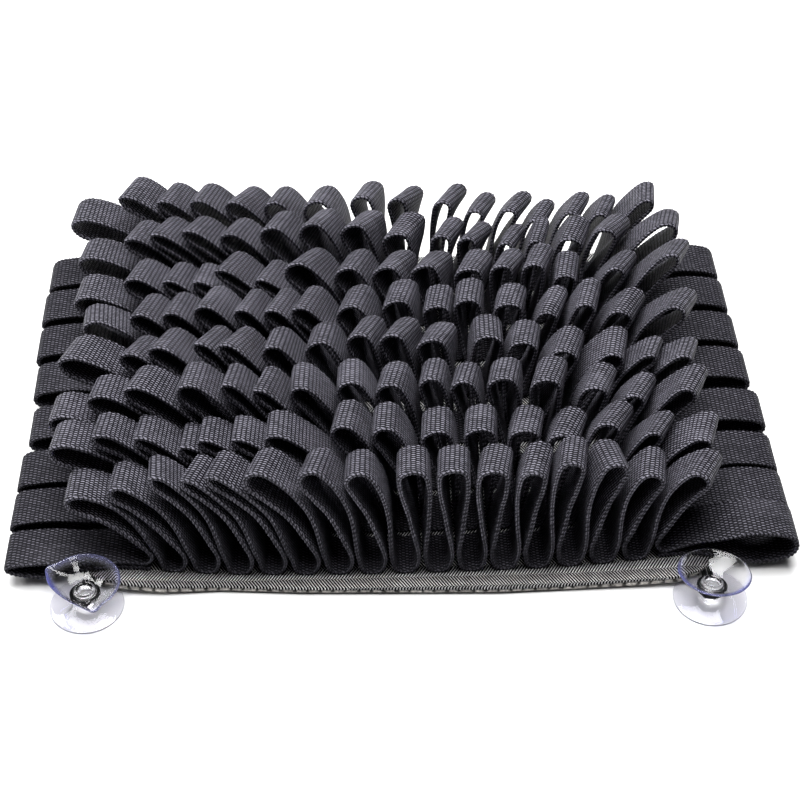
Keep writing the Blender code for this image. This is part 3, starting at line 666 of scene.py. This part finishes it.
class Bench:
    """Lays out the nodes of one material."""

    def __init__(self, name, roughness, shine=0.5):
        self.mat = bpy.data.materials.new(name)
        self.mat.use_nodes = True
        self.tree = self.mat.node_tree
        self.shader = self.tree.nodes["Principled BSDF"]
        self.shader.inputs["Roughness"].default_value = roughness
        self.shader.inputs["Specular IOR Level"].default_value = shine

    def join(self, value, socket):
        """Links another node's output, or sets a plain value."""
        if isinstance(value, bpy.types.NodeSocket):
            self.tree.links.new(value, socket)
        else:
            socket.default_value = value

    def node(self, kind, **settings):
        made = self.tree.nodes.new(kind)
        for key, value in settings.items():
            setattr(made, key, value)
        return made

    def math(self, operation, *values):
        made = self.node("ShaderNodeMath", operation=operation)
        for value, socket in zip(values, made.inputs):
            self.join(value, socket)
        return made.outputs[0]

    def product(self, first, *others):
        for other in others:
            first = self.math("MULTIPLY", first, other)
        return first

    def off_middle(self, value):
        """How far the fraction of a value lies past one half."""
        return self.math("SUBTRACT", self.math("FRACT", value), 0.5)

    def from_middle(self, value):
        """How far the fraction of a value lies from one half, either way."""
        return self.math("ABSOLUTE", self.off_middle(value))

    def spread(self, value, ends, to=UP, eased=True):
        """How far the value is on its way between two ends, as the same way between two others."""
        made = self.node("ShaderNodeMapRange", interpolation_type="SMOOTHSTEP" if eased else "LINEAR")
        for part, socket in zip((value, *ends, *to), made.inputs):
            self.join(part, socket)
        return made.outputs[0]

    def mix(self, share, first, second):
        made = self.node("ShaderNodeMix", data_type="RGBA")
        self.join(share, made.inputs[0])
        for value, socket in ((first, made.inputs[6]), (second, made.inputs[7])):
            self.join((*value, 1.0) if isinstance(value, tuple) else value, socket)
        return made.outputs[2]

    def noise(self, vector, scale=1.0, detail=2.0, rough=0.5):
        made = self.node("ShaderNodeTexNoise")
        for name, value in (("Vector", vector), ("Scale", scale), ("Detail", detail), ("Roughness", rough)):
            self.join(value, made.inputs[name])
        return made.outputs[0]

    def vector(self, x, y):
        made = self.node("ShaderNodeCombineXYZ")
        self.join(x, made.inputs[0])
        self.join(y, made.inputs[1])
        return made.outputs[0]

    def map_parts(self, name):
        """Along and across on a named flat map."""
        parts = self.node("ShaderNodeSeparateXYZ")
        self.join(self.node("ShaderNodeUVMap", uv_map=name).outputs[0], parts.inputs[0])
        return parts.outputs[0], parts.outputs[1]

    def place(self):
        """X, Y and Z in the mat's own frame, and all three together."""
        where = self.node("ShaderNodeTexCoord").outputs["Object"]
        parts = self.node("ShaderNodeSeparateXYZ")
        self.join(where, parts.inputs[0])
        return (*parts.outputs, where)

    def bump(self, height, distance, strength=1.0):
        """Relief this deep, which the light sees and the outline doesn't."""
        made = self.node("ShaderNodeBump")
        made.inputs["Strength"].default_value = strength
        made.inputs["Distance"].default_value = distance
        self.join(height, made.inputs["Height"])
        self.join(made.outputs[0], self.shader.inputs["Normal"])

    def colour(self, value):
        self.join(value, self.shader.inputs["Base Color"])


def tuple3(colour):
    return tuple(float(part) for part in colour)


def scaled(parts, by):
    return tuple(part * by for part in parts)


# In the tables of looks below a pair is where something fades, from and to. Shades
# are shares of the full colour, grains are counts per metre, and reaches and
# heights are in millimetres.

YARN_SHINE = 0.07
# Painted shade: the heights over which the web goes from dark low down to its full colour at the crowns
PAINTED_SHADE_HEIGHTS, PAINTED_SHADE_SHARES = (12, 56), (0.36, 1.0)


def painted_low_shade(b, z):
    """Painted shade: the web is darker low down between the loops and paler up at the crowns."""
    return b.spread(z, scaled(PAINTED_SHADE_HEIGHTS, MM), PAINTED_SHADE_SHARES)


YARN_STRAY_ALONG, YARN_STRAY_ACROSS, YARN_STRAY_GRAIN = 0.5, 0.25, 420.0
FLOAT_ENDS, FLOAT_SIDES = (0.11, 0.24), (0.18, 0.46)  # where a float dips, from its middle
FLOAT_SHADES = (0.6, 1.45)
FIBRE_GRAIN_ALONG, FIBRE_GRAIN_ACROSS = 900.0, 5200.0
FIBRE_FADE, FIBRE_SHADES, FIBRE_RELIEF = (0.3, 0.72), (0.6, 1.15), 0.12
WEB_WEAR_GRAIN, WEB_WEAR_SHADES = 55.0, (0.9, 1.1)
WEAR_FADE = (0.3, 0.7)
SLACK_GRAIN, SLACK_FADE, SLACK_SHADES = 14.0, (0.5, 0.72), (0.0, 0.08)
STRAPS_APART, SLACK_SHIFT = 32, 7.3  # straps lie this far apart, and each has its slack elsewhere
WEB_RELIEF = 0.5


def webbing_material(web):
    """Plain weave of heavy yarn: short slanting floats in cross ribs."""
    b = Bench("charcoal webbing", 0.6, YARN_SHINE)
    along, around = b.map_parts("weave")
    _, y, z, where = b.place()
    stray = b.math("SUBTRACT", b.noise(where, scale=YARN_STRAY_GRAIN, rough=0.6), 0.5)
    along = b.math("MULTIPLY_ADD", stray, YARN_STRAY_ALONG * MM, along)
    strayed = b.math("MULTIPLY_ADD", stray, YARN_STRAY_ACROSS * MM, around)
    lane = b.math("DIVIDE", strayed, web.width / round(web.yarns))
    yarn = b.math("FLOOR", lane)
    # A yarn floats over every second rib, and its neighbours over the ribs between.
    float_at = b.math("ADD", b.math("DIVIDE", along, 2 * web.pick), b.math("MULTIPLY", yarn, 0.5))
    within = b.off_middle(float_at)
    aside = b.math("MULTIPLY_ADD", within, web.slant, b.off_middle(lane))
    # Painted shade: the colour falls to the deep colour where a float dips between the yarns; the same height
    # gives the relief
    height = b.product(
        b.spread(b.math("ABSOLUTE", within), FLOAT_ENDS, DOWN),
        b.spread(b.math("ABSOLUTE", aside), FLOAT_SIDES, DOWN))
    each = b.node("ShaderNodeTexWhiteNoise", noise_dimensions="2D")
    b.join(b.vector(b.math("FLOOR", float_at), yarn), each.inputs["Vector"])
    hair = b.vector(
        b.math("MULTIPLY", along, FIBRE_GRAIN_ALONG), b.math("MULTIPLY", around, FIBRE_GRAIN_ACROSS))
    fibre = b.noise(hair, detail=3.0, rough=0.7)
    wear = b.noise(where, scale=WEB_WEAR_GRAIN, detail=3.0, rough=0.6)
    # Where the web lies slack its gaps close up, so less painted shade shows between the yarns and it looks
    # smoother.
    strap = b.math("MULTIPLY", b.math("FLOOR", b.math("DIVIDE", y, STRAPS_APART * MM)), SLACK_SHIFT)
    slack = b.noise(b.vector(b.math("MULTIPLY", along, SLACK_GRAIN), strap), detail=1.0)
    light = b.product(
        b.math("MAXIMUM", height, b.spread(slack, SLACK_FADE, SLACK_SHADES)),
        b.spread(fibre, FIBRE_FADE, FIBRE_SHADES),
        b.spread(each.outputs["Value"], UP, FLOAT_SHADES, eased=False),
        b.spread(wear, WEAR_FADE, WEB_WEAR_SHADES),
        painted_low_shade(b, z))
    b.colour(b.mix(light, tuple3(web.deep), tuple3(web.colour)))
    b.bump(b.math("MULTIPLY_ADD", fibre, FIBRE_RELIEF, height), WEB_RELIEF * MM)
    return b.mat


EDGE_STRAY, EDGE_STRAY_GRAIN, EDGE_SLANT = 1.0, 500.0, 0.8
WRAP_FADE, LAYER_FADE, LAYER_SHADES = (0.14, 0.42), (0.2, 0.5), (1.0, 0.12)
BEAD_SHADES = (0.06, 1.0)
FLECK_GRAIN, FLECK_FADE, FLECK_SHADES, FLECK_RELIEF = 1300.0, (0.38, 0.64), (0.25, 1.3), 0.5
EDGE_WEAR_GRAIN, EDGE_WEAR_SHADES = 80.0, (0.8, 1.15)
EDGE_RELIEF = 0.45


def selvedge_material(web):
    """The beaded edge: weft turns that lie slantwise over the edge yarns, two deep, with painted shade
    between the turns and between the two layers.
    """
    b = Bench("webbing selvedge", 0.66, YARN_SHINE)
    along, around = b.map_parts("weave")
    _, _, z, where = b.place()
    stray = b.math("SUBTRACT", b.noise(where, scale=EDGE_STRAY_GRAIN, rough=0.6), 0.5)
    turn = b.math("MULTIPLY_ADD", stray, EDGE_STRAY * MM, b.math("MULTIPLY_ADD", around, EDGE_SLANT, along))
    wrap = b.from_middle(b.math("DIVIDE", turn, web.pick))
    layer = b.from_middle(b.math("DIVIDE", around, web.thick / 2))
    # Painted shade: dark between the weft turns and in the groove between the two layers
    bead = b.product(b.spread(wrap, WRAP_FADE, DOWN), b.spread(layer, LAYER_FADE, LAYER_SHADES))
    fleck = b.noise(where, scale=FLECK_GRAIN, detail=3.0, rough=0.7)
    wear = b.noise(where, scale=EDGE_WEAR_GRAIN, rough=0.6)
    light = b.product(
        b.spread(bead, UP, BEAD_SHADES),
        b.spread(fleck, FLECK_FADE, FLECK_SHADES),
        b.spread(wear, WEAR_FADE, EDGE_WEAR_SHADES),
        painted_low_shade(b, z))
    b.colour(b.mix(light, tuple3(web.deep), tuple3(web.colour)))
    b.bump(b.math("MULTIPLY_ADD", fleck, FLECK_RELIEF, bead), EDGE_RELIEF * MM)
    return b.mat


FIRST_BAND = 112.9  # how far in front of the mat's middle a band of the herringbone begins
BAND_DRIFT, BAND_DRIFT_GRAIN = 0.9, 60.0
STRIPE_FADE = (0.1, 0.22)  # where a light stripe ends, from its middle
WOOL_GRAIN_X, WOOL_GRAIN_Y = 2600.0, 1400.0
WOOL_FADE, WOOL_SHADES, WOOL_RELIEF = (0.3, 0.62), (0.35, 1.1), 0.5
PATCH_GRAIN, PATCH_SHADES = 130.0, (0.7, 1.1)
DIP_FADE, DIP_SHADES = (0.0, 0.8), (1.1, 0.6)
TWEED_RELIEF = 0.3


def tweed_material(base):
    """Herringbone: light stripes that turn back at every band."""
    b = Bench("herringbone tweed", 0.85, 0.1)
    x, y, _, where = b.place()
    x = b.math("MULTIPLY_ADD", b.noise(where, scale=BAND_DRIFT_GRAIN), BAND_DRIFT * MM, x)
    y = b.math("ADD", y, FIRST_BAND * MM)
    zigzag = b.math("PINGPONG", y, base.band)
    across = b.math("DIVIDE", y, base.band)
    stripe = b.math("DIVIDE", b.math("MULTIPLY_ADD", zigzag, -base.slope, x), base.stripe)
    stripe = b.math("ADD", stripe, b.math("MULTIPLY", b.math("FLOOR", across), 0.5))
    hair = b.vector(b.math("MULTIPLY", x, WOOL_GRAIN_X), b.math("MULTIPLY", y, WOOL_GRAIN_Y))
    wool = b.noise(hair, rough=0.6)
    patchy = b.noise(where, scale=PATCH_GRAIN, detail=3.0, rough=0.6)
    # Each light yarn dips under a dark one part of the way, and shows most at its lower end.
    light = b.product(
        b.spread(b.from_middle(stripe), STRIPE_FADE, DOWN),
        b.spread(wool, WOOL_FADE, WOOL_SHADES),
        b.spread(patchy, WEAR_FADE, PATCH_SHADES),
        b.spread(b.math("FRACT", across), DIP_FADE, DIP_SHADES))
    b.colour(b.mix(light, tuple3(base.dark), tuple3(base.light)))
    b.bump(b.math("MULTIPLY_ADD", wool, WOOL_RELIEF, light), TWEED_RELIEF * MM)
    return b.mat


SHADE = (0.004, 0.004, 0.004)  # down in the felt's stitches and under its edge
PALE_HAIR = 4.5  # how much paler than the felt its hairs are
HAIR_GRAIN, MOTTLE_GRAIN, MOTTLE_FADE, MOTTLE_SHADES = 900.0, 160.0, (0.35, 0.7), (0.0, 0.55)
STITCH_PITCH, STITCH_STRAY, STITCH_RISE, RAGGED_GRAIN = 6.4, 5.0, 1.6, 240.0
STITCH_SIDES, STITCH_SHADES, STITCH_HEIGHTS = (0.4, 1.5), (0.9, 0.0), (0.2, 1.0)
FOOT_HEIGHTS, FOOT_SHADES, FOOT_STRAY, FOOT_GRAIN = (0.1, 1.5), (0.92, 0.0), 1.2, 70.0
MOTTLE_RELIEF, FELT_RELIEF = 0.6, 0.5


def felt_material(base):
    """Grey felt, its hairs mottled, with painted shade in a row of stitches that pull it in and along the
    floor.
    """
    b = Bench("grey felt", 0.95, 0.1)
    x, _, z, where = b.place()
    hair = b.noise(where, scale=HAIR_GRAIN, detail=5.0, rough=0.75)
    mottle = b.noise(where, scale=MOTTLE_GRAIN, detail=3.0, rough=0.6)
    grey = tuple3(base.felt)
    pale = tuple(min(1.0, part) for part in scaled(grey, PALE_HAIR))
    felt = b.mix(b.spread(hair, WEAR_FADE), grey, pale)
    felt = b.mix(b.spread(mottle, MOTTLE_FADE, MOTTLE_SHADES), felt, grey)
    # Painted shade: dark dimples in a row along the edge where the stitches pull the felt in
    ragged = b.noise(where, scale=RAGGED_GRAIN, rough=0.6)
    aside = b.math("PINGPONG", b.math("MULTIPLY_ADD", ragged, STITCH_STRAY * MM, x), STITCH_PITCH / 2 * MM)
    height = b.math("MULTIPLY_ADD", ragged, -STITCH_RISE * MM, z)
    painted_stitch_shade = b.product(
        b.spread(aside, scaled(STITCH_SIDES, MM), STITCH_SHADES),
        b.spread(height, scaled(STITCH_HEIGHTS, MM)))
    felt = b.mix(painted_stitch_shade, felt, SHADE)
    # Painted shade: the felt darkens towards the floor under its edge
    rise = b.math("MULTIPLY", b.noise(where, scale=FOOT_GRAIN, detail=1.0), FOOT_STRAY * MM)
    painted_floor_shade = b.spread(b.math("SUBTRACT", z, rise), scaled(FOOT_HEIGHTS, MM), FOOT_SHADES)
    b.colour(b.mix(painted_floor_shade, felt, SHADE))
    b.bump(b.math("MULTIPLY_ADD", mottle, MOTTLE_RELIEF, hair), FELT_RELIEF * MM)
    return b.mat


VINYL_IOR, VINYL_SHINE, VINYL_ROUGH = 1.38, 0.28, 0.04
VIOLET_SHARES = (0.3, 0.32, 0.82)  # what the rim keeps of the tint
EDGE_ON, EDGE_FADE = 0.32, (0.6, 0.97)
RIM_HEIGHTS, RIM_SHARE = (15.0, 19.5), 0.9
CLEAR_SHARES = (1.0, 0.84)  # how clear the vinyl is, and its rim
WAVER_GRAIN, WAVER_RELIEF, WAVER_STRENGTH = 60.0, 0.25, 0.04


def vinyl_material(cups):
    """Clear vinyl, violet and milky where it is seen edge on and out at the upper rim."""
    b = Bench("clear vinyl", VINYL_ROUGH, VINYL_SHINE)
    tint = tuple3(cups.tint)
    violet = tuple(part * share for part, share in zip(tint, VIOLET_SHARES))
    edge = b.node("ShaderNodeLayerWeight")
    edge.inputs["Blend"].default_value = EDGE_ON
    _, _, z, where = b.place()
    high = b.math("MULTIPLY", b.spread(z, scaled(RIM_HEIGHTS, MM)), RIM_SHARE)
    rim = b.math("MAXIMUM", b.spread(edge.outputs["Facing"], EDGE_FADE), high)
    b.colour(b.mix(rim, tint, violet))
    b.join(b.spread(rim, UP, CLEAR_SHARES, eased=False), b.shader.inputs["Transmission Weight"])
    b.shader.inputs["IOR"].default_value = VINYL_IOR
    b.bump(b.noise(where, scale=WAVER_GRAIN, detail=1.0), WAVER_RELIEF * MM, strength=WAVER_STRENGTH)
    return b.mat


STRANDS_ALONG, STRANDS_AROUND = 9.0, 10.0
BRAID_FADE, BRAID_SHADES, BRAID_RELIEF = (-0.6, 1.0), (0.1, 0.8), 0.15


def elastic_material(cups):
    """Fine braid that crosses both ways round the cord."""
    b = Bench("black elastic", 0.7, 0.08)
    along, around = b.map_parts("braid")
    onward = b.math("MULTIPLY", along, STRANDS_ALONG)
    strands = []
    for way in (STRANDS_AROUND, -STRANDS_AROUND):
        turn = b.math("MULTIPLY", b.math("MULTIPLY_ADD", around, way, onward), 2 * math.pi)
        strands.append(b.math("SINE", turn))
    braid = b.math("MAXIMUM", *strands)
    # Painted shade: the colour is darker down between the strands of the braid
    deep, raised = (scaled(tuple3(cups.elastic), shade) for shade in BRAID_SHADES)
    b.colour(b.mix(b.spread(braid, BRAID_FADE), deep, raised))
    b.bump(braid, BRAID_RELIEF * MM)
    return b.mat


FLOOR_GRAIN, FLOOR_SHADE = 6.0, 0.99


def floor_material(look):
    """A pale floor with hardly a cloud in it."""
    b = Bench("studio floor", 0.9)
    *_, where = b.place()
    pale = tuple3(look.floor)
    b.colour(b.mix(b.noise(where, scale=FLOOR_GRAIN), scaled(pale, FLOOR_SHADE), pale))
    return b.mat


# ---------------------------------------------------------------- operators


class SNUFFLE_OT_straps(bpy.types.Operator):
    """Builds the eight webbing straps in their loops"""

    bl_idname = "snuffle_mat.straps"
    bl_label = "Webbing Straps"

    def execute(self, context):
        web = context.scene.snuffle_webbing
        materials = [webbing_material(web), selvedge_material(web)]
        for number, strap in enumerate(STRAPS, 1):
            build_strap(number, strap, web, materials)
        return {"FINISHED"}


class SNUFFLE_OT_base(bpy.types.Operator):
    """Builds the tweed sheet and its felt backing"""

    bl_idname = "snuffle_mat.base"
    bl_label = "Base Sheets"

    def execute(self, context):
        base = context.scene.snuffle_base
        build_sheet("tweed_sheet", CLOTH_UNDER, CLOTH_THICK, TWEED_GRID, TWEED_RIPPLE, tweed_material(base),
                    "base_cloth")
        build_sheet("felt_backing", 0.0, FELT_THICK, FELT_GRID, FELT_RIPPLE, felt_material(base),
                    "base_felt", keep=away_from_notches)
        return {"FINISHED"}


class SNUFFLE_OT_cups(bpy.types.Operator):
    """Builds the two clear suction cups"""

    bl_idname = "snuffle_mat.cups"
    bl_label = "Suction Cups"

    def execute(self, context):
        cups = context.scene.snuffle_cups
        vinyl = vinyl_material(cups)
        for side in CUPS:
            build_cup(side, vinyl, cups.radius / MM)
        return {"FINISHED"}


class SNUFFLE_OT_elastics(bpy.types.Operator):
    """Builds the elastic loops that hold the cups"""

    bl_idname = "snuffle_mat.elastics"
    bl_label = "Elastic Loops"

    def execute(self, context):
        elastic = elastic_material(context.scene.snuffle_cups)
        for side in CUPS:
            build_elastic(side, elastic)
        return {"FINISHED"}


# Floor: half its side and its height, in metres
FLOOR_HALF, FLOOR_Z = 6.0, -0.0002
# Camera: what it looks at, how far off it stands, and its angles in degrees
LOOK_AT = (3.9, 23.0, 0.0)
CAMERA_FAR, CAMERA_UP, CAMERA_TURN = 1014.6, 43.0, 1.822
CAMERA_LENS, CAMERA_SENSOR = 81.26, 36.0
# Softboxes: place, aim and size in metres; power comes from the settings
SOFTBOXES = (
    ("overhead softbox", "key", (-0.1, 0.42, 1.85), (0.0, 0.02, 0.0), 1.6),
    ("side softbox", "side", (-1.0, 0.5, 1.1), (0.0, 0.0, 0.0), 0.5),
    ("glint softbox", "glint", (0.16, -0.53, 1.32), (0.0, -0.12, 0.0), 0.3),
)


def lay_floor(scene, look):
    mesh = bpy.data.meshes.new("studio_floor")
    corners = [(x * FLOOR_HALF, y * FLOOR_HALF, FLOOR_Z) for x, y in ((-1, -1), (1, -1), (1, 1), (-1, 1))]
    mesh.from_pydata(corners, [], [(0, 1, 2, 3)])
    mesh.materials.append(floor_material(look))
    floor = bpy.data.objects.new("studio_floor", mesh)
    scene.collection.objects.link(floor)


def light_stage(scene, look):
    world = bpy.data.worlds.new("white surroundings")
    world.use_nodes = True
    world.node_tree.nodes["Background"].inputs[0].default_value = (1.0, 1.0, 1.0, 1.0)
    world.node_tree.nodes["Background"].inputs[1].default_value = look.sky
    scene.world = world
    for name, power, spot, aim, size in SOFTBOXES:
        light = bpy.data.lights.new(name, "AREA")
        light.energy = getattr(look, power)
        light.shape = "SQUARE"
        light.size = size
        box = bpy.data.objects.new(name, light)
        box.location = spot
        box.rotation_euler = (Vector(aim) - Vector(spot)).to_track_quat("-Z", "Y").to_euler()
        scene.collection.objects.link(box)


def stand_camera(scene):
    up, turn = math.radians(CAMERA_UP), math.radians(CAMERA_TURN)
    ahead = Vector((math.sin(turn) * math.cos(up), math.cos(turn) * math.cos(up), -math.sin(up)))
    camera = bpy.data.cameras.new("camera")
    camera.lens, camera.sensor_width = CAMERA_LENS, CAMERA_SENSOR
    stand = bpy.data.objects.new("camera", camera)
    stand.location = (Vector(LOOK_AT) - ahead * CAMERA_FAR) * MM
    stand.rotation_euler = ahead.to_track_quat("-Z", "Y").to_euler()
    scene.collection.objects.link(stand)
    scene.camera = stand


class SNUFFLE_OT_stage(bpy.types.Operator):
    """Sets up the floor, the softboxes and the camera"""

    bl_idname = "snuffle_mat.stage"
    bl_label = "Stage"

    def execute(self, context):
        scene = context.scene
        lay_floor(scene, scene.snuffle_stage)
        light_stage(scene, scene.snuffle_stage)
        stand_camera(scene)
        scene.view_settings.view_transform = "Standard"
        return {"FINISHED"}


class SNUFFLE_PT_panel(bpy.types.Panel):
    """Lists the pieces and their settings"""

    bl_idname = "SNUFFLE_PT_panel"
    bl_label = "Snuffle Mat"
    bl_space_type = "VIEW_3D"
    bl_region_type = "UI"
    bl_category = "Snuffle Mat"

    def draw(self, context):
        for group, operators in PANEL_ROWS:
            box = self.layout.box()
            settings = getattr(context.scene, group)
            for name in settings.__annotations__:
                box.prop(settings, name)
            for operator in operators:
                box.operator(operator)


PANEL_ROWS = (
    ("snuffle_webbing", ("snuffle_mat.straps",)),
    ("snuffle_base", ("snuffle_mat.base",)),
    ("snuffle_cups", ("snuffle_mat.cups", "snuffle_mat.elastics")),
    ("snuffle_stage", ("snuffle_mat.stage",)),
)
GROUPS = {
    "snuffle_webbing": WebbingSettings,
    "snuffle_base": BaseSettings,
    "snuffle_cups": CupSettings,
    "snuffle_stage": StageSettings,
}
OPERATORS = (SNUFFLE_OT_straps, SNUFFLE_OT_base, SNUFFLE_OT_cups, SNUFFLE_OT_elastics, SNUFFLE_OT_stage)
CLASSES = (*GROUPS.values(), *OPERATORS, SNUFFLE_PT_panel)


def register():
    for cls in CLASSES:
        bpy.utils.register_class(cls)
    for name, group in GROUPS.items():
        setattr(bpy.types.Scene, name, PointerProperty(type=group))


def unregister():
    for name in GROUPS:
        delattr(bpy.types.Scene, name)
    for cls in reversed(CLASSES):
        bpy.utils.unregister_class(cls)


def main():
    register()
    bpy.ops.snuffle_mat.stage()
    bpy.ops.snuffle_mat.base()
    bpy.ops.snuffle_mat.straps()
    bpy.ops.snuffle_mat.cups()
    bpy.ops.snuffle_mat.elastics()


if __name__ == "__main__":
    main()
